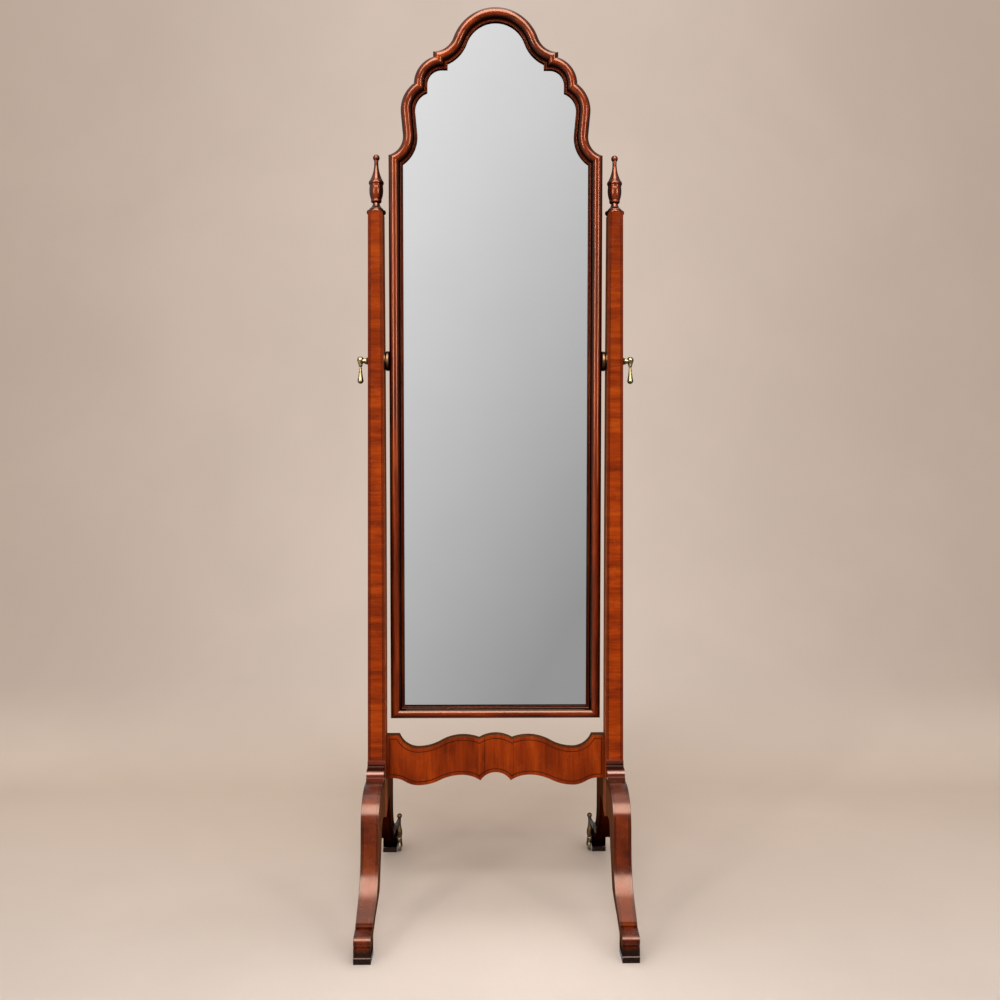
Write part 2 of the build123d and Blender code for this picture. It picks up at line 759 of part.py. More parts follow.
def left_castor_screws():
    """Two countersunk screws fix each bracket to the leg's inner face."""
    section = [
        Line((0, 0), (2.6, 0)),
        Line((2.6, 0), (1.3, 1.4)),
        Line((1.3, 1.4), (1.3, 12.0)),
        Line((1.3, 12.0), (0, 13.5)),
        Line((0, 13.5), (0, 0)),
    ]
    screw = Rot(0, 0, 90) * turned(section, Axis.Y)
    y, z = bracket_plate
    face = -knee_inner + bracket_thick
    return [Pos(face, front(y + side * 7), z + 3 * side) * screw for side in (-1, 1)]


def left_castor_bracket_solid():
    """Screwed plate and lever arm with the upright kingpin and its ball finial."""
    y, z = bracket_plate
    length, height = bracket_plate_size
    plate = Box(bracket_thick, length, height, align=(Align.MIN, Align.CENTER, Align.CENTER))
    bracket = Pos(-knee_inner, front(y), z) * plate
    arm = make_face(Polyline([
        (0, front(y + 6), z + 4), (0, front(y + 6), z - 5),
        (0, front(kingpin_y), 70), (0, front(kingpin_y), 75), (0, front(y + 6), z + 4),
    ]))
    bracket += solid_between(arm, -knee_inner + 0.4, -knee_inner + 4.6)
    ball = ball_arc(3.6, ball_height, ball_radius)
    spindle = [
        Line((0, fork_boss_foot + 8), (kingpin_radius, fork_boss_foot + 8)),
        Line((kingpin_radius, fork_boss_foot + 8), (kingpin_radius, fork_boss_top + face_gap)),
        Line((kingpin_radius, fork_boss_top + face_gap), (4.0, fork_boss_top + face_gap)),
        ThreePointArc((4.0, fork_boss_top + face_gap), (3.0, 65.0), ball @ 0),
        ball,
        Line((0, ball_height + ball_radius), (0, fork_boss_foot + 8)),
    ]
    spindle = Pos(-kingpin_x, front(kingpin_y), 0) * Rot(90, 0, 0) * turned(spindle, Axis.Y)
    bracket += spindle
    for screw in left_castor_screws():
        bracket -= screw
    return bracket


def left_castor_fork_solid():
    """Swivelling fork: a turned boss with two cheeks that trail back to the axle."""
    foot = fork_boss_foot
    boss = [
        Line((0, foot), (4.6, foot)),
        ThreePointArc((4.6, foot), (fork_boss_radius, foot + 9), (3.8, fork_boss_top)),
        Line((3.8, fork_boss_top), (0, fork_boss_top)),
        Line((0, fork_boss_top), (0, foot)),
    ]
    fork = Rot(90, 0, 0) * turned(boss, Axis.Y)
    hole_depth = fork_boss_top - foot - 7.6
    fork -= Pos(0, 0, fork_boss_top - hole_depth / 2) * Cylinder(kingpin_radius + running_gap, hole_depth)
    axle_z = wheel_radius + wheel_lift
    outline = make_hull(
        (Pos(0, foot) * Circle(4.2)).edges() + (Pos(castor_trail, axle_z) * Circle(3.6)).edges())
    cheek = extrude(Plane.YZ * make_face(outline), cheek_thick)
    inner = wheel_width / 2 + face_gap
    fork += Pos(inner, 0, 0) * cheek
    fork += Pos(-inner - cheek_thick, 0, 0) * cheek
    fork += Pos(0, 0, foot + 1.5) * Box(2 * inner + 2 * cheek_thick, 7.6, 5.0)
    fork -= rod_x(axle_radius, -10, 10, castor_trail, axle_z)
    return Pos(-kingpin_x, front(kingpin_y), 0) * fork


def left_castor_axle_solid():
    half = wheel_width / 2 + face_gap + cheek_thick
    axle = rod_x(axle_radius, -half, half, 0, 0)
    axle += rod_x(2.6, half, half + 0.6, 0, 0) + rod_x(2.6, -half - 0.6, -half, 0, 0)
    return Pos(-kingpin_x, front(kingpin_y + castor_trail), wheel_radius + wheel_lift) * axle


def left_castor_wheel_solid():
    wheel = rod_x(wheel_radius, -wheel_width / 2, wheel_width / 2, 0, 0)
    wheel = chamfer(wheel.edges().filter_by(GeomType.CIRCLE), 0.9)
    wheel -= rod_x(axle_radius + running_gap, -10, 10, 0, 0)
    return Pos(-kingpin_x, front(kingpin_y + castor_trail), wheel_radius + wheel_lift) * wheel


# Assembly

def tilt(shape):
    """Move a piece from the mirror's own frame to its leaning place at the pivot."""
    return Pos(0, post_axis_y, pivot_height) * Rot(rest_lean, 0, 0) * shape


def in_frame(shape):
    """Move a piece whose back is at Y 0 so that the tilt axis is at Y 0."""
    return Pos(0, axis_from_back, 0) * shape


def build_stand():
    parts = {}
    left = {
        "post": left_post_solid(),
        "finial": left_finial_solid(),
        "front_leg": leg_solid(front_leg_outline(), -1),
        "rear_leg": leg_solid(rear_leg_outline(), 1),
        "front_cap_moulding": cap_moulding_solid(-1),
        "rear_cap_moulding": cap_moulding_solid(1),
        "front_foot_pad": foot_pad_solid(front_toe, -1),
        "rear_foot_pad": foot_pad_solid(rear_toe, 1),
        "rosette": left_rosette_solid(),
        "post_washer": left_washer_solid(),
        "castor_bracket": left_castor_bracket_solid(),
        "castor_fork": left_castor_fork_solid(),
        "castor_axle": left_castor_axle_solid(),
        "castor_wheel": left_castor_wheel_solid(),
    }
    for name, solid in left.items():
        parts["left_" + name] = solid
        parts["right_" + name] = flipped(solid)
    parts["stretcher"] = stretcher_solid()
    dowels = left_dowels()
    parts["leg_dowels"] = Compound(children=dowels + [flipped(dowel) for dowel in dowels])
    screws = left_castor_screws()
    parts["castor_screws"] = Compound(children=screws + [flipped(screw) for screw in screws])
    return parts


def build_mirror():
    screws = back_screws()
    plate = left_pivot_plate_solid()
    plate_screws = left_plate_screws()
    stile = in_frame(left_stile_solid()).cut(left_pivot_plate_blank(), *plate_screws)
    moulded = {
        "crest_arch": in_frame(crest_arch_solid()),
        "left_crest_lobe": in_frame(left_lobe_solid()),
        "right_crest_lobe": in_frame(flipped(left_lobe_solid())),
        "left_crest_shoulder": in_frame(left_shoulder_solid()),
        "right_crest_shoulder": in_frame(flipped(left_shoulder_solid())),
        "left_stile": stile,
        "right_stile": flipped(stile),
        "bottom_rail": in_frame(bottom_rail_solid()),
    }
    inset = moulding_width - rabbet_lap + glass_clearance
    glass_bottom = frame_bottom + rail_width - rabbet_lap + glass_clearance
    board_bottom = frame_bottom + backboard_inset - (moulding_width - rail_width)
    moulded["mirror_glass"] = outline_board(inset, glass_bottom, glass_thick,
                                            axis_from_back - rabbet_depth + glass_thick)
    moulded["backboard"] = outline_board(backboard_inset, board_bottom, backboard_thick,
                                         axis_from_back + backboard_thick)
    placed = [in_frame(screw) for screw in screws]
    for name in ("crest_arch", "left_stile", "right_stile", "bottom_rail", "backboard"):
        moulded[name] = moulded[name].cut(*placed)
    boss = left_boss_solid()
    moulded["left_pivot_plate"] = plate
    moulded["right_pivot_plate"] = flipped(plate)
    moulded["left_pivot_boss"] = boss
    moulded["right_pivot_boss"] = flipped(boss)
    moulded["backboard_screws"] = Compound(children=placed)
    moulded["glazing_blocks"] = Compound(children=[in_frame(block) for block in glazing_blocks()])
    both = plate_screws + [flipped(screw) for screw in plate_screws]
    moulded["pivot_plate_screws"] = Compound(children=both)
    return {name: tilt(solid) for name, solid in moulded.items()}


def build_handles():
    left = {
        "thumbscrew": left_thumbscrew_solid(),
        "drop_pin": left_drop_pin_solid(),
        "drop_handle": left_drop_solid(),
    }
    parts = {}
    for name, solid in left.items():
        placed = Pos(0, post_axis_y, pivot_height) * solid
        parts["left_" + name] = placed
        parts["right_" + name] = flipped(placed)
    return parts


os.makedirs("parts", exist_ok=True)
for node, shape in {**build_stand(), **build_mirror(), **build_handles()}.items():
    export_step(shape, f"parts/{node}.step")
    print(node, round(shape.volume, 1))
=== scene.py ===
import math

import bpy
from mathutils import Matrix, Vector


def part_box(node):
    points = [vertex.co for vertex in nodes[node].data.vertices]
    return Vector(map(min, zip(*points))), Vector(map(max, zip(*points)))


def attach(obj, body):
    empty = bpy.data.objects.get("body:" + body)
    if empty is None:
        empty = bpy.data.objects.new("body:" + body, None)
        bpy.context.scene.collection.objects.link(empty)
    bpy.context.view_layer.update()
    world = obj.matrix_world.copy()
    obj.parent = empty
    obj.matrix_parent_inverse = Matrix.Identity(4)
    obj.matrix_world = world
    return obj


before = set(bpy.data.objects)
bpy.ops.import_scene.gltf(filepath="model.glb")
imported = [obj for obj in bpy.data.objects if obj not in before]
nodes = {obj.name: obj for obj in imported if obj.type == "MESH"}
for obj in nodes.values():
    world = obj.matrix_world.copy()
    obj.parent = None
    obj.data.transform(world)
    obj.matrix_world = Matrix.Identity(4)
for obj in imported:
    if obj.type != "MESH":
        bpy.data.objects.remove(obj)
bpy.context.scene.view_settings.view_transform = "Standard"


def writeSize():
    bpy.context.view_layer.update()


writeSize()
print("frame loaded:", len(nodes), "pieces")


# Shader helpers

# a material's node graph, with short ways to add the usual nodes
class Graph:
    def __init__(self, name):
        self.material = bpy.data.materials.new(name)
        self.material.use_nodes = True
        self.tree = self.material.node_tree
        self.tree.nodes.clear()
        self.output = self.add("ShaderNodeOutputMaterial")
        self.coords = self.add("ShaderNodeTexCoord").outputs["Object"]

    def add(self, kind, **values):
        node = self.tree.nodes.new(kind)
        for key, value in values.items():
            setattr(node, key, value)
        return node

    # source is a number, a colour or another node's socket
    def join(self, source, socket):
        if isinstance(source, (int, float)):
            socket.default_value = source
        elif isinstance(source, tuple):
            socket.default_value = source if len(source) == len(socket.default_value) else (*source, 1)
        else:
            self.tree.links.new(source, socket)

    def math(self, operation, first, second=0.0):
        node = self.add("ShaderNodeMath", operation=operation)
        self.join(first, node.inputs[0])
        self.join(second, node.inputs[1])
        return node.outputs[0]

    def times(self, first, second):
        return self.math("MULTIPLY", first, second)

    def minus(self, first, second):
        return self.math("SUBTRACT", first, second)

    # each part is a value and its share
    def blend(self, *parts):
        total = None
        for value, share in parts:
            scaled = self.times(value, share)
            total = scaled if total is None else self.math("ADD", total, scaled)
        return total

    def ramp(self, value, low, high, toLow=0.0, toHigh=1.0, smooth=True):
        node = self.add("ShaderNodeMapRange", clamp=True,
                        interpolation_type="SMOOTHSTEP" if smooth else "LINEAR")
        self.join(value, node.inputs["Value"])
        for key, amount in (("From Min", low), ("From Max", high), ("To Min", toLow), ("To Max", toHigh)):
            self.join(amount, node.inputs[key])
        return node.outputs["Result"]

    # stretch is how fine the noise is along x, y and z, per metre
    def noise(self, stretch, detail=4.0, roughness=0.55, distortion=0.0, shift=(0, 0, 0)):
        mapping = self.add("ShaderNodeMapping")
        self.join(self.coords, mapping.inputs["Vector"])
        mapping.inputs["Scale"].default_value = stretch
        mapping.inputs["Location"].default_value = shift
        node = self.add("ShaderNodeTexNoise")
        self.join(mapping.outputs[0], node.inputs["Vector"])
        node.inputs["Scale"].default_value = 1.0
        node.inputs["Detail"].default_value = detail
        node.inputs["Roughness"].default_value = roughness
        node.inputs["Distortion"].default_value = distortion
        return node.outputs["Fac"]

    def mix(self, amount, first, second, blend="MIX"):
        node = self.add("ShaderNodeMix", data_type="RGBA", blend_type=blend)
        self.join(amount, node.inputs[0])
        self.join(first, node.inputs[6])
        self.join(second, node.inputs[7])
        return node.outputs[2]

    def darken(self, colour, amount):
        return self.mix(1.0, colour, amount, "MULTIPLY")

    # stops are (place, colour) pairs
    def colours(self, value, stops):
        node = self.add("ShaderNodeValToRGB")
        elements = node.color_ramp.elements
        for number, (place, colour) in enumerate(stops):
            element = elements[number] if number < 2 else elements.new(place)
            element.position = place
            element.color = (*colour, 1)
        self.join(value, node.inputs["Fac"])
        return node.outputs["Color"]

    def split(self):
        node = self.add("ShaderNodeSeparateXYZ")
        self.join(self.coords, node.inputs[0])
        return node.outputs

    def bump(self, height, strength, distance):
        node = self.add("ShaderNodeBump")
        node.inputs["Strength"].default_value = strength
        node.inputs["Distance"].default_value = distance
        self.join(height, node.inputs["Height"])
        return node.outputs["Normal"]

    # keys are socket names, with underscores for spaces
    def surface(self, **values):
        shader = self.add("ShaderNodeBsdfPrincipled")
        for key, value in values.items():
            self.join(value, shader.inputs[key.replace("_", " ")])
        self.join(shader.outputs[0], self.output.inputs["Surface"])
        return self.material


# 1 where a surface faces the front or the back of its piece, 0 on its sides
def facing(graph):
    direction = graph.add("ShaderNodeSeparateXYZ")
    graph.join(graph.add("ShaderNodeTexCoord").outputs["Normal"], direction.inputs[0])
    return graph.math("ABSOLUTE", direction.outputs[1])


# 1 between two distances, 0 elsewhere
def line(graph, distance, start, end, soft=0.0003):
    rising = graph.ramp(distance, start - soft, start + soft)
    falling = graph.ramp(distance, end - soft, end + soft, 1.0, 0.0)
    return graph.times(rising, falling)


def dress(names, material):
    for name in names:
        mesh = nodes[name].data
        mesh.materials.clear()
        mesh.materials.append(material)


def pair(*names):
    return [side + "_" + name for name in names for side in ("left", "right")]


# Walnut veneer, shared by the posts, the legs and the stretcher

wood = {
    "colours": ((0.36, (0.065, 0.006, 0.0006)),      # place in the figure, colour
                (0.47, (0.150, 0.015, 0.001)),
                (0.57, (0.262, 0.029, 0.0014)),
                (0.74, (0.42, 0.065, 0.003))),
    "ripples": 0.45,         # shares of the three layers of figure
    "grain": 0.27,
    "drift": 0.38,
    "string": (0.018, 0.003, 0.001),
    "band": (0.090, 0.008, 0.001),      # between a string and the edge
    "side": (0.210, 0.095, 0.045),      # plain wood beside the veneer
    "stringCover": 0.92,
    "bandCover": 0.75,
    "stringAt": 0.0040,      # from the edge of the face, in metres
    "stringWidth": 0.0011,
    "bandSoft": 0.0006,
    "outer": 0.2342,         # outer side of posts and legs, from the middle of the stand
}

polishing = {
    "roughness": (0.18, 0.30),
    "patches": (40, 40, 40),      # how fine the unevenness of the gloss is
    "specular": 0.30,
    "sideSpecular": 0.0,
    "tint": (1.0, 0.42, 0.26),
    "bump": 0.035,
    "bumpDepth": 0.0004,
}


# soft ripples across the veneer, fine grain and slow drifts of tone
def figuredColour(graph, figure):
    ripples = graph.noise(figure["ripples"], 3.0, 0.5, 0.6)
    fine = graph.noise(figure["grain"], 6.0, 0.65, 0.2, (3.1, 1.7, 0.4))
    slow = graph.noise(figure["drift"], 2.0, 0.5, 0.4, (7.3, 2.9, 5.1))
    tone = graph.blend((ripples, wood["ripples"]), (fine, wood["grain"]), (slow, wood["drift"]))
    return graph.colours(tone, wood["colours"]), fine


# a clear coat with a slightly uneven gloss, duller on the sides
def polish(graph, colour, fine, front, specular=polishing["specular"], tint=polishing["tint"]):
    patches = graph.noise(polishing["patches"], 3.0)
    return graph.surface(
        Base_Color=colour, Roughness=graph.ramp(patches, 0.3, 0.7, *polishing["roughness"]),
        Specular_IOR_Level=graph.ramp(front, 0, 1, polishing["sideSpecular"], specular),
        Specular_Tint=tint, Normal=graph.bump(fine, polishing["bump"], polishing["bumpDepth"]))


# a dark string and a darker band along both edges of a face
def edged(graph, colour, across, inner, front):
    nearest = graph.math("MINIMUM", graph.minus(wood["outer"], across), graph.minus(across, inner))
    start = wood["stringAt"]
    string = graph.times(line(graph, nearest, start, start + wood["stringWidth"]), front)
    band = graph.times(graph.ramp(nearest, start - wood["bandSoft"], start, 1.0, 0.0), front)
    colour = graph.mix(graph.times(band, wood["bandCover"]), colour, wood["band"])
    return graph.mix(graph.times(string, wood["stringCover"]), colour, wood["string"])


# Posts

post = {
    "ripples": (9, 9, 75),       # figure, per metre along x, y and z
    "grain": (30, 30, 420),
    "drift": (5, 5, 4.5),
    "inner": 0.2024,             # inner side where the taper starts
    "taper": 0.0054,
    "taperFoot": 0.162,
    "taperHeight": 1.117,
    "taperPower": 1.8,
    "axisY": -0.0315,
    "faceDepth": (0.0216, 0.0218),      # where a side turns into a veneered face
    "sideCover": 0.55,
    "fadeHeights": (0.60, 1.25),
    "fade": 0.80,                # darker toward the top
}


def postMaterial():
    graph = Graph("post veneer")
    x, y, z = graph.split()
    across = graph.math("ABSOLUTE", x)
    colour, fine = figuredColour(graph, post)
    rise = graph.math("DIVIDE", graph.minus(z, post["taperFoot"]), post["taperHeight"])
    taper = graph.times(graph.math("POWER", rise, post["taperPower"]), post["taper"])
    inner = graph.math("ADD", post["inner"], taper)
    depth = graph.math("ABSOLUTE", graph.minus(y, post["axisY"]))
    front = graph.ramp(depth, *post["faceDepth"])
    colour = graph.darken(colour, graph.ramp(z, *post["fadeHeights"], 1.0, post["fade"]))
    colour = graph.mix(graph.ramp(front, 0, 1, post["sideCover"], 0.0), colour, wood["side"])
    return polish(graph, edged(graph, colour, across, inner, front), fine, front)


dress(pair("post"), postMaterial())


# Legs

leg = {
    "ripples": (14, 20, 30),
    "grain": (60, 130, 130),
    "drift": (8, 9, 9),
    "innerHeights": (0.046, 0.080),
    "inner": (0.2054, 0.2026),          # inner side at those heights
    "rim": 0.0004,                      # rounded edge of the face
    "rimSoft": 0.0003,
    "sideCover": 0.80,
    "toeHeights": (0.016, 0.029),       # dark toe
    "toeShade": 0.10,
    "footShadeHeights": (0.08, 0.22),         # painted shade toward the foot
    "topHeights": (0.226, 0.242),       # painted shadow under the cap moulding
    "capShadowShade": 0.40,
    "dullLedge": (0.0455, 0.0530),      # ledge with little gloss
    "ledgeSoft": 0.0015,
    "ledgeGloss": 0.1,
    "tint": (1.0, 0.68, 0.52),
}

# shade is the legs' darker tone; on the rear legs it is darker still, painted shade from the front legs
legTones = {
    "front_leg": {"name": "front leg veneer", "shade": 0.50, "low": 0.80, "specular": 0.43},
    "rear_leg": {"name": "rear leg veneer", "shade": 0.36, "low": 0.12, "specular": 0.0},
}


def legMaterial(tone):
    graph = Graph(tone["name"])
    x, y, z = graph.split()
    across = graph.math("ABSOLUTE", x)
    colour, fine = figuredColour(graph, leg)
    inner = graph.ramp(z, *leg["innerHeights"], *leg["inner"], smooth=False)
    nearest = graph.math("MINIMUM", graph.minus(wood["outer"], across), graph.minus(across, inner))
    front = graph.ramp(graph.minus(nearest, leg["rim"]), 0.0, leg["rimSoft"])
    colour = graph.mix(graph.ramp(front, 0, 1, leg["sideCover"], 0.0), colour, wood["side"])
    colour = edged(graph, colour, across, inner, front)
    shade = tone["shade"]
    # dark toe, and above it the whole leg takes its shade, part painted shade on the rear legs
    colour = graph.darken(colour, graph.ramp(z, *leg["toeHeights"], leg["toeShade"] * shade, shade))
    # painted shade: darker toward the foot, far darker on the rear legs
    colour = graph.darken(colour, graph.ramp(z, *leg["footShadeHeights"], tone["low"], 1.0))
    # painted shadow of the cap moulding on the top of the leg
    colour = graph.darken(colour, graph.ramp(z, *leg["topHeights"], 1.0, leg["capShadowShade"]))
    ledge = line(graph, z, *leg["dullLedge"], leg["ledgeSoft"])
    specular = graph.ramp(ledge, 0, 1, tone["specular"], leg["ledgeGloss"] * tone["specular"])
    return polish(graph, colour, fine, front, specular, leg["tint"])


for name, tone in legTones.items():
    dress(pair(name), legMaterial(tone))


# Plain woods

plain = {
    "string": {"dark": wood["string"], "light": (0.040, 0.006, 0.001),
               "grain": (60, 60, 60), "specular": 0.05},
    "backboard": {"dark": (0.20, 0.105, 0.045), "light": (0.33, 0.19, 0.09),
                  "grain": (70, 70, 4), "specular": 0.3},
    "softwood": {"dark": (0.30, 0.17, 0.08), "light": (0.48, 0.31, 0.16),
                 "grain": (60, 60, 30), "specular": 0.3},
}


def plainWood(name):
    kind = plain[name]
    graph = Graph(name)
    fine = graph.noise(kind["grain"], 5.0, 0.6, 0.4)
    return graph.surface(
        Base_Color=graph.colours(fine, [(0.32, kind["dark"]), (0.68, kind["light"])]),
        Roughness=graph.ramp(fine, 0.3, 0.7, 0.5, 0.66),
        Specular_IOR_Level=kind["specular"], Normal=graph.bump(fine, 0.15, 0.0004))


dress(["backboard"], plainWood("backboard"))
dress(["glazing_blocks", "leg_dowels"], plainWood("softwood"))


# Stretcher, with a dark string let into its face

stretcher = {
    "ripples": (26, 20, 6),
    "grain": (330, 60, 18),
    "drift": (9, 5, 6),
    "seams": (-0.0208, 0.0325),      # between the leaves of veneer
    "seamWidth": (0.0003, 0.0009),
    "seamCover": 0.7,
    "ends": (0.190, 0.203),          # painted shadow of the posts: the face darkens close to them
    "middleShade": 0.94,
    "postShadowShade": 0.50,
    # painted shade: the faces off the front, the top among them, take a dark colour
    "edge": (0.050, 0.022, 0.008),
    "edgeDepth": (0.0001, 0.0004),
    "edgeShadeCover": 0.85,
    "stringAt": 0.0056,              # from the outline
    "stringWidth": 0.0015,
    "stringProud": 0.00008,
    "frontY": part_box("stretcher")[0][1],
}


def stretcherMaterial():
    graph = Graph("stretcher veneer")
    x, y, z = graph.split()
    colour, fine = figuredColour(graph, stretcher)
    for seam in stretcher["seams"]:
        away = graph.math("ABSOLUTE", graph.minus(x, seam))
        cover = graph.ramp(away, *stretcher["seamWidth"], stretcher["seamCover"], 0.0)
        colour = graph.mix(cover, colour, wood["string"])
    across = graph.math("ABSOLUTE", x)
    # painted shadow: the face is darkened toward both ends, where the posts shade it
    ends = graph.ramp(across, *stretcher["ends"], stretcher["middleShade"], stretcher["postShadowShade"])
    colour = graph.darken(colour, ends)
    # painted shade on the faces behind the front
    edge = graph.ramp(y, *(stretcher["frontY"] + depth for depth in stretcher["edgeDepth"]))
    colour = graph.mix(graph.times(edge, stretcher["edgeShadeCover"]), colour, stretcher["edge"])
    return polish(graph, colour, fine, graph.minus(1.0, edge))


# the outline of a flat front face, as one ring of (x, z) points
def frontOutline(mesh, frontY):
    def place(vertex):
        point = mesh.vertices[vertex].co
        return round(point.x, 6), round(point.z, 6)

    uses = {}
    for face in mesh.polygons:
        if all(abs(mesh.vertices[vertex].co.y - frontY) < 1e-5 for vertex in face.vertices):
            for edge in face.edge_keys:
                ends = tuple(sorted(place(vertex) for vertex in edge))
                uses[ends] = uses.get(ends, 0) + 1
    beside = {}
    for (first, second), count in uses.items():
        if count == 1 and first != second:      # an edge of one face only is on the outline
            beside.setdefault(first, []).append(second)
            beside.setdefault(second, []).append(first)
    start = min(beside)
    ring = [start]
    previous, current = None, start
    while True:
        following = [point for point in beside[current] if point != previous]
        previous, current = current, following[0]
        if current == start:
            return ring
        ring.append(current)


# every point of a ring, moved inwards by a distance
def insetRing(ring, distance):
    area = sum(a[0] * b[1] - b[0] * a[1] for a, b in zip(ring, ring[1:] + ring[:1]))
    side = 1 if area > 0 else -1
    moved = []
    for number, point in enumerate(ring):
        before = Vector(point) - Vector(ring[number - 1])
        after = Vector(ring[(number + 1) % len(ring)]) - Vector(point)
        normals = [Vector((-edge.y, edge.x)).normalized() * side for edge in (before, after)]
        middle = (normals[0] + normals[1]).normalized()
        stretch = min(1 / max(middle.dot(normals[0]), 0.3), 1.8)      # kept short at sharp corners
        moved.append(Vector(point) + middle * distance * stretch)
    return moved


def stretcherString():
    ring = frontOutline(nodes["stretcher"].data, stretcher["frontY"])
    outer = insetRing(ring, stretcher["stringAt"])
    inner = insetRing(ring, stretcher["stringAt"] + stretcher["stringWidth"])
    y = stretcher["frontY"] - stretcher["stringProud"]
    mesh = bpy.data.meshes.new("stretcher_string")
    count = len(ring)
    points = [(point.x, y, point.y) for point in outer + inner]
    faces = [(n, (n + 1) % count, count + (n + 1) % count, count + n) for n in range(count)]
    mesh.from_pydata(points, [], faces)
    mesh.materials.append(plainWood("string"))
    thing = bpy.data.objects.new("stretcher_string", mesh)
    bpy.context.collection.objects.link(thing)
    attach(thing, "stand")
    print("stretcher string:", count, "points")


dress(["stretcher"], stretcherMaterial())
stretcherString()
print("stand's veneers done")


# Polished mouldings of the frame, and the turned finials

gloss = {
    "colours": ((0.36, (0.050, 0.006, 0.0008)),
                (0.50, (0.145, 0.014, 0.0015)),
                (0.66, (0.290, 0.038, 0.003))),
    "grain": {"x": (9, 120, 120), "z": (120, 120, 9)},      # by the way the grain runs
    "drift": {"x": (5, 20, 20), "z": (20, 20, 5)},
    "grainShare": 0.55,
    "driftShare": 0.45,
    "turned": (0.66, 0.99),      # painted shade: facing between which the colour darkens toward the sides of the moulding
    "edge": 0.07,                # how dark the painted shade is where the moulding turns away
    "glossy": (0.35, 0.75),      # facing between which the gloss grows
    "specular": 0.50,
    "tint": (1.0, 0.56, 0.36),
    "roughness": (0.08, 0.13),
    "bump": 0.012,
    "bumpDepth": 0.0003,
    "lean": math.radians(2.5),   # of the mirror in its rest place
    "hollowDepth": (0.0045, 0.0085),      # behind the crest of the moulding
    "hollow": 0.50,              # painted shade in the hollow beside the glass
    "hollowGloss": 0.25,
}


# how far forward the crest of the moulding lies, square to the leaning mirror
def crestPlace():
    along, across = math.sin(gloss["lean"]), math.cos(gloss["lean"])
    return min(vertex.co.z * along + vertex.co.y * across for vertex in nodes["left_stile"].data.vertices)


def mouldingMaterial(name, grain, framed=True):
    graph = Graph(name)
    fine = graph.noise(gloss["grain"][grain], 6.0, 0.62, 0.3)
    slow = graph.noise(gloss["drift"][grain], 3.0, 0.5, 0.5, (2.2, 5.5, 1.1))
    tone = graph.blend((fine, gloss["grainShare"]), (slow, gloss["driftShare"]))
    colour = graph.colours(tone, gloss["colours"])
    # painted shade: the moulding is darkened where its surface turns away from the front
    colour = graph.darken(colour, graph.ramp(facing(graph), *gloss["turned"], gloss["edge"], 1.0))
    shine = graph.ramp(facing(graph), *gloss["glossy"], 0.0, gloss["specular"])
    if framed:
        x, y, z = graph.split()
        behind = graph.blend((z, math.sin(gloss["lean"])), (y, math.cos(gloss["lean"])))
        start, end = (crestPlace() + depth for depth in gloss["hollowDepth"])
        # painted shade: the hollow behind the crest, beside the glass, is darkened and its gloss lowered
        hollow = graph.ramp(behind, start, end, 1.0, gloss["hollow"])
        colour = graph.darken(colour, hollow)
        shine = graph.times(shine, graph.ramp(hollow, gloss["hollow"], 1.0, gloss["hollowGloss"], 1.0))
    return graph.surface(
        Base_Color=colour, Roughness=graph.ramp(slow, 0.3, 0.7, *gloss["roughness"]),
        Specular_IOR_Level=shine, Specular_Tint=gloss["tint"],
        Normal=graph.bump(fine, gloss["bump"], gloss["bumpDepth"]))


dress(pair("stile", "crest_shoulder"), mouldingMaterial("moulding, upright grain", "z"))
levelMoulding = mouldingMaterial("moulding, level grain", "x")
dress(["crest_arch", "bottom_rail"], levelMoulding)
dress(pair("crest_lobe"), levelMoulding)
dress(pair("finial"), mouldingMaterial("turned finial", "z", framed=False))
print("frame and finials done")


# Cap mouldings, between posts and legs

cap = {
    "low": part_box("left_front_cap_moulding")[0][2],
    "grain": (9, 90, 90),
    "dark": (0.050, 0.006, 0.0008),
    "light": (0.145, 0.014, 0.0015),
    "cove": (0.0160, 0.0238),        # painted shade in the cove, up from the bottom of the moulding
    "coveSoft": 0.0007,
    "coveShade": 0.22,
    "coveSpecular": 0.05,
    "specular": 0.55,
    "tint": (1.0, 0.74, 0.60),
    "roughness": 0.20,
}


def capMaterial():
    graph = Graph("cap moulding")
    x, y, z = graph.split()
    fine = graph.noise(cap["grain"], 5.0, 0.6, 0.3)
    colour = graph.colours(fine, [(0.35, cap["dark"]), (0.65, cap["light"])])
    # painted shade in the cove: lit is 0 there and 1 elsewhere
    start, end = (cap["low"] + height for height in cap["cove"])
    lit = graph.minus(1.0, line(graph, z, start, end, cap["coveSoft"]))
    return graph.surface(
        Base_Color=graph.darken(colour, graph.ramp(lit, 0, 1, cap["coveShade"], 1.0)),
        Roughness=cap["roughness"], Specular_Tint=cap["tint"],
        Specular_IOR_Level=graph.ramp(lit, 0, 1, cap["coveSpecular"], cap["specular"]))


dress(pair("front_cap_moulding", "rear_cap_moulding"), capMaterial())


# Foot pads

pad = {
    "grain": (120, 120, 400),
    "dark": (0.006, 0.0025, 0.0015),
    "light": (0.016, 0.005, 0.003),
    "roughness": (0.22, 0.30),
    "specular": 0.28,
    "tint": (1.0, 0.7, 0.55),
    "bump": 0.02,
    "bumpDepth": 0.0003,
}


def ebonyMaterial():
    graph = Graph("ebonised foot")
    fine = graph.noise(pad["grain"], 5.0, 0.6, 0.3)
    return graph.surface(
        Base_Color=graph.colours(fine, [(0.35, pad["dark"]), (0.65, pad["light"])]),
        Roughness=graph.ramp(fine, 0.3, 0.7, *pad["roughness"]),
        Specular_IOR_Level=pad["specular"], Specular_Tint=pad["tint"],
        Normal=graph.bump(fine, pad["bump"], pad["bumpDepth"]))


dress(pair("front_foot_pad", "rear_foot_pad"), ebonyMaterial())
print("cap mouldings and feet done")


# Mirror glass

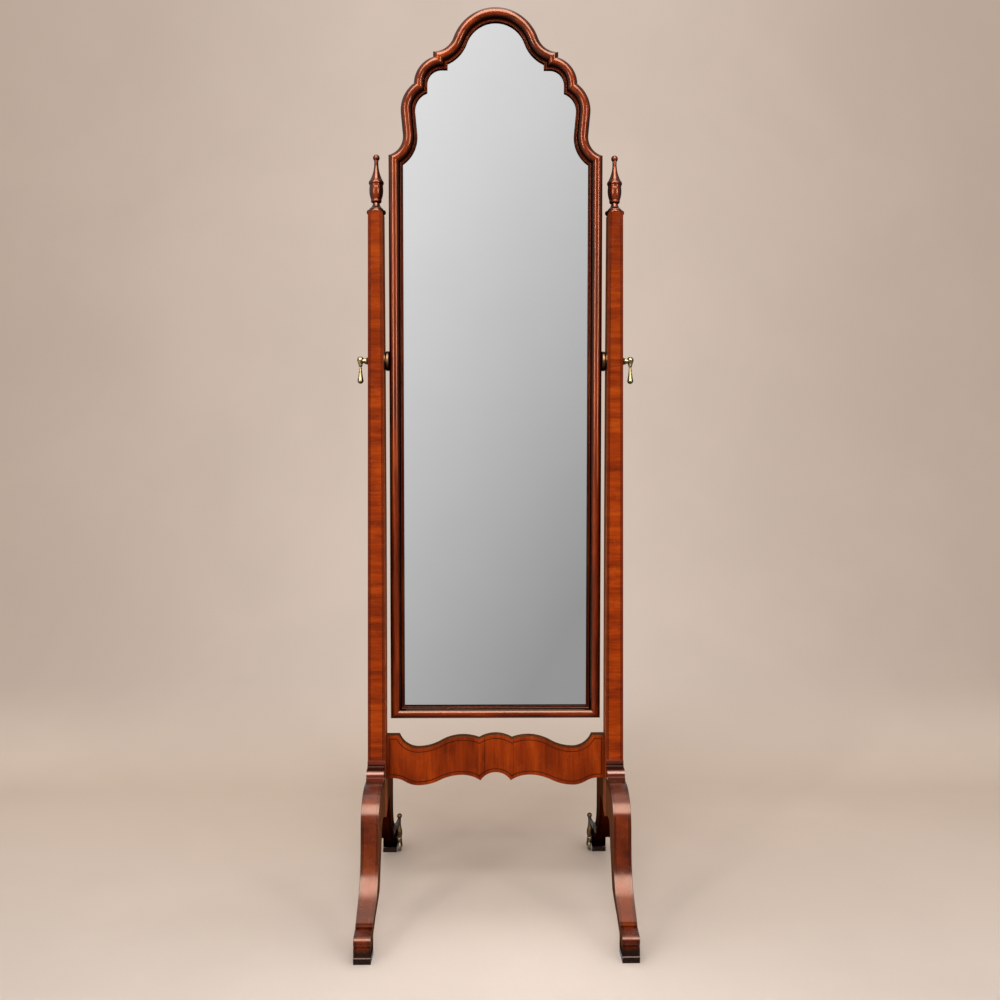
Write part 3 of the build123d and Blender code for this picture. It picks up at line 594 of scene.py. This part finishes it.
glass = {
    "clouds": (6, 6, 6),
    "dim": (0.93, 0.935, 0.935),
    "bright": (0.96, 0.96, 0.955),
    "roughness": 0.02,
}


def mirrorMaterial():
    graph = Graph("mirror glass")
    clouds = graph.noise(glass["clouds"], 2.0)
    return graph.surface(Base_Color=graph.colours(clouds, [(0.3, glass["dim"]), (0.7, glass["bright"])]),
                         Metallic=1.0, Roughness=glass["roughness"])


dress(["mirror_glass"], mirrorMaterial())


# Metal

metals = {
    "aged brass": {"bright": (0.29, 0.205, 0.095), "dull": (0.045, 0.025, 0.010), "roughness": 0.32},
    "dark brass": {"bright": (0.10, 0.052, 0.024), "dull": (0.022, 0.012, 0.007), "roughness": 0.46},
    "bronze boss": {"bright": (0.115, 0.055, 0.026), "dull": (0.012, 0.006, 0.004), "roughness": 0.30},
    "steel screws": {"bright": (0.42, 0.40, 0.38), "dull": (0.22, 0.21, 0.20), "roughness": 0.30},
}

patina = {
    "spots": (90, 90, 90),
    "facingShare": 0.75,         # painted sheen: brighter where a surface faces forward or back
    "spotShare": 0.35,
    "patinaAndSheen": (0.50, 0.92),
    "roughnessSpread": 0.16,
    "bump": 0.008,
    "bumpDepth": 0.0003,
}


def metalMaterial(name):
    metal = metals[name]
    graph = Graph(name)
    spots = graph.noise(patina["spots"], 3.0, 0.5, 0.3)
    # painted sheen from the facing, mixed with real patina spots
    patinaAndSheen = graph.blend((facing(graph), patina["facingShare"]), (spots, patina["spotShare"]))
    rough = metal["roughness"]
    return graph.surface(
        Base_Color=graph.mix(graph.ramp(patinaAndSheen, *patina["patinaAndSheen"]), metal["dull"], metal["bright"]),
        Metallic=1.0, Roughness=graph.ramp(spots, 0.3, 0.7, rough, rough + patina["roughnessSpread"]),
        Normal=graph.bump(spots, patina["bump"], patina["bumpDepth"]))


dress(pair("castor_wheel", "castor_axle", "thumbscrew", "drop_pin", "drop_handle", "pivot_plate")
      + ["castor_screws", "pivot_plate_screws"], metalMaterial("aged brass"))
dress(pair("rosette", "castor_bracket", "castor_fork"), metalMaterial("dark brass"))
dress(pair("pivot_boss", "post_washer"), metalMaterial("bronze boss"))
dress(["backboard_screws"], metalMaterial("steel screws"))
print("glass and metal done")


# Room: a pale floor that curves up into a backdrop

room = {
    "front": -4.0,
    "bend": 0.62,          # where the floor starts to curve up
    "bendRadius": 0.55,
    "bendSteps": 24,
    "top": 4.5,
    "halfWidth": 9.0,
    "near": (0.630, 0.552, 0.495),
    "far": (0.640, 0.524, 0.432),
    "depths": (-1.0, 0.75),             # from near to far
    "floorWidths": (0.4, 1.5),
    "floorSide": 0.95,                  # painted falloff of light: a little darker at the sides
    "wallMiddle": (0.655, 0.535, 0.455),
    "wallSide": (0.485, 0.380, 0.310),
    "wallWidths": (0.1, 1.7),
    "wallHeights": (0.0, 0.20),         # floor turns into a glowing wall, painted light
    "clouds": (1.6, 1.6, 1.6),
    "mottle": (0.97, 1.03),
}


def roomMesh():
    bend, radius = room["bend"], room["bendRadius"]
    profile = [(room["front"], 0.0), (-2.0, 0.0), (-1.0, 0.0), (0.0, 0.0)]
    for number in range(room["bendSteps"] + 1):
        angle = number / room["bendSteps"] * math.pi / 2
        profile.append((bend + radius * math.sin(angle), radius * (1 - math.cos(angle))))
    profile.append((bend + radius, room["top"]))
    mesh = bpy.data.meshes.new("room")
    points = [(side * room["halfWidth"], y, z) for y, z in profile for side in (-1, 1)]
    faces = [(2 * n, 2 * n + 1, 2 * n + 3, 2 * n + 2) for n in range(len(profile) - 1)]
    mesh.from_pydata(points, [], faces)
    mesh.shade_smooth()
    return mesh


def roomMaterial():
    graph = Graph("room")
    x, y, z = graph.split()
    across = graph.math("ABSOLUTE", x)
    clouds = graph.noise(room["clouds"], 4.0, 0.6, 0.3)
    mottle = graph.ramp(clouds, 0.3, 0.7, *room["mottle"])
    floor = graph.mix(graph.ramp(y, *room["depths"]), room["near"], room["far"])
    floor = graph.darken(floor, graph.ramp(across, *room["floorWidths"], 1.0, room["floorSide"]))
    wall = graph.mix(graph.ramp(across, *room["wallWidths"]), room["wallMiddle"], room["wallSide"])
    diffuse = graph.add("ShaderNodeBsdfDiffuse")
    graph.join(graph.darken(floor, mottle), diffuse.inputs["Color"])
    # painted light: the wall glows with its own colour, darker toward the sides, and takes no shadow
    glow = graph.add("ShaderNodeEmission")
    graph.join(graph.darken(wall, mottle), glow.inputs["Color"])
    solid = graph.add("ShaderNodeMixShader")
    graph.join(graph.ramp(z, *room["wallHeights"]), solid.inputs[0])
    graph.join(diffuse.outputs[0], solid.inputs[1])
    graph.join(glow.outputs[0], solid.inputs[2])
    whole = graph.add("ShaderNodeMixShader")      # reflections see past the room, to the soft boxes
    graph.join(graph.add("ShaderNodeLightPath").outputs["Is Glossy Ray"], whole.inputs[0])
    graph.join(solid.outputs[0], whole.inputs[1])
    graph.join(graph.add("ShaderNodeBsdfTransparent").outputs[0], whole.inputs[2])
    graph.join(whole.outputs[0], graph.output.inputs["Surface"])
    return graph.material


def buildRoom():
    mesh = roomMesh()
    mesh.materials.append(roomMaterial())
    thing = bpy.data.objects.new("room", mesh)
    bpy.context.collection.objects.link(thing)


buildRoom()
print("room done")


# World: even light, and a studio that only reflections see

sky = {
    "colour": (0.93, 0.94, 0.95),
    "strength": 0.90,
    "mirrorLevel": 0.54,         # brightness of the studio seen in the glass at eye level
    "mirrorRise": 0.63,          # change with the height of the view
    "mirrorAcross": -0.95,       # change from left to right
    "mirrorLimits": (0.31, 0.80),
    "ceilingLevel": 2.5,
    "ceilingWidth": (0.30, 0.42),
    "ceilingHeight": (0.93, 0.97),
}

softboxes = {    # turn is across over forward; low, high and soft edges are parts of a unit sphere
    "overhead": {"turn": 0.0, "half": 0.55, "soft": 0.25, "low": 0.36, "high": 0.90, "level": 15.0},
    "leftStrip": {"turn": -0.66, "half": 0.08, "soft": 0.06, "low": -0.12, "high": 0.30, "level": 21.0},
    "rightStrip": {"turn": 0.76, "half": 0.08, "soft": 0.06, "low": -0.12, "high": 0.30, "level": 21.0},
}

boxEdges = {
    "low": 0.14,
    "high": 0.06,
    "forward": (0.02, 0.12),     # boxes stand only in front of the mirror
}


def buildWorld():
    world = bpy.data.worlds.new("studio")
    bpy.context.scene.world = world
    world.use_nodes = True
    tree = world.node_tree
    tree.nodes.clear()
    make = tree.nodes.new
    link = tree.links.new

    def combine(operation, *values):
        node = make("ShaderNodeMath")
        node.operation = operation
        for value, socket in zip(values, node.inputs):
            if isinstance(value, float):
                socket.default_value = value
            else:
                link(value, socket)
        return node.outputs[0]

    def scaled(socket, factor, offset):
        return combine("MULTIPLY_ADD", socket, factor, offset)

    def step(value, start, end, before, after):
        node = make("ShaderNodeMapRange")
        node.interpolation_type = "SMOOTHSTEP"
        link(value, node.inputs["Value"])
        for number, amount in enumerate((start, end, before, after), 1):
            node.inputs[number].default_value = amount
        return node.outputs["Result"]

    def background(colour):
        node = make("ShaderNodeBackground")
        node.inputs["Color"].default_value = (*colour, 1)
        return node

    split = make("ShaderNodeSeparateXYZ")
    link(make("ShaderNodeTexCoord").outputs["Generated"], split.inputs[0])
    x, y, z = split.outputs
    level = scaled(x, sky["mirrorAcross"], scaled(z, sky["mirrorRise"], sky["mirrorLevel"]))
    limit = make("ShaderNodeClamp")
    link(level, limit.inputs[0])
    limit.inputs["Min"].default_value, limit.inputs["Max"].default_value = sky["mirrorLimits"]
    total = limit.outputs[0]
    forward = scaled(y, -1.0, 0.0)
    turn = combine("DIVIDE", x, combine("MAXIMUM", forward, 0.05))
    for box in softboxes.values():
        away = combine("ABSOLUTE", scaled(turn, 1.0, -box["turn"]))
        shape = step(away, box["half"], box["half"] + box["soft"], 1.0, 0.0)
        shape = combine("MULTIPLY", shape, step(z, box["low"], box["low"] + boxEdges["low"], 0.0, 1.0))
        shape = combine("MULTIPLY", shape, step(z, box["high"], box["high"] + boxEdges["high"], 1.0, 0.0))
        shape = combine("MULTIPLY", shape, step(forward, *boxEdges["forward"], 0.0, 1.0))
        total = scaled(shape, box["level"], total)
    ceiling = step(combine("ABSOLUTE", x), *sky["ceilingWidth"], 1.0, 0.0)
    ceiling = combine("MULTIPLY", ceiling, step(z, *sky["ceilingHeight"], 0.0, 1.0))
    seen = background((1, 1, 1))
    link(scaled(ceiling, sky["ceilingLevel"], total), seen.inputs["Strength"])
    soft = background(sky["colour"])
    soft.inputs["Strength"].default_value = sky["strength"]
    mix = make("ShaderNodeMixShader")
    link(make("ShaderNodeLightPath").outputs["Is Glossy Ray"], mix.inputs[0])
    link(soft.outputs[0], mix.inputs[1])
    link(seen.outputs[0], mix.inputs[2])
    link(mix.outputs[0], make("ShaderNodeOutputWorld").inputs["Surface"])


buildWorld()
print("world done")


# Lamps

lamps = {    # places and sizes in metres, power in watts
    "key": {"place": (-1.75, -2.35, 1.75), "size": (0.20, 2.3), "power": 21.5, "colour": (1.0, 0.98, 0.95)},
    "fill": {"place": (1.95, -2.25, 1.55), "size": (0.20, 2.1), "power": 16.0, "colour": (1.0, 0.98, 0.96)},
    "top": {"place": (-0.1, -1.95, 2.95), "size": (1.3, 0.85), "power": 30.0, "colour": (1, 1, 1)},
}

lampAim = (0, 0, 0.85)


def areaLamp(name):
    values = lamps[name]
    lamp = bpy.data.lights.new(name, "AREA")
    lamp.shape = "RECTANGLE"
    lamp.size, lamp.size_y = values["size"]
    lamp.energy = values["power"]
    lamp.color = values["colour"]
    thing = bpy.data.objects.new(name, lamp)
    bpy.context.collection.objects.link(thing)
    thing.location = values["place"]
    aim = Vector(lampAim) - Vector(values["place"])
    thing.rotation_euler = aim.to_track_quat("-Z", "Y").to_euler()
    thing.visible_glossy = False      # the soft boxes of the world make the highlights


for name in lamps:
    areaLamp(name)
print("lamps done")


# Camera, fitted to the photograph

view = {
    "place": (-0.016, -1.9035, 0.817),
    "turn": -0.74,
    "lens": 36.32,
    "sensor": 36.0,
    "shiftY": -0.0366,
    "nearest": 0.05,
}


def buildCamera():
    data = bpy.data.cameras.new("camera")
    data.sensor_width = view["sensor"]
    data.lens = view["lens"]
    data.shift_y = view["shiftY"]
    data.clip_start = view["nearest"]
    camera = bpy.data.objects.new("camera", data)
    bpy.context.collection.objects.link(camera)
    camera.location = view["place"]
    camera.rotation_euler = (math.radians(90), 0, math.radians(view["turn"]))
    bpy.context.scene.camera = camera


buildCamera()
writeSize()
print("camera done")
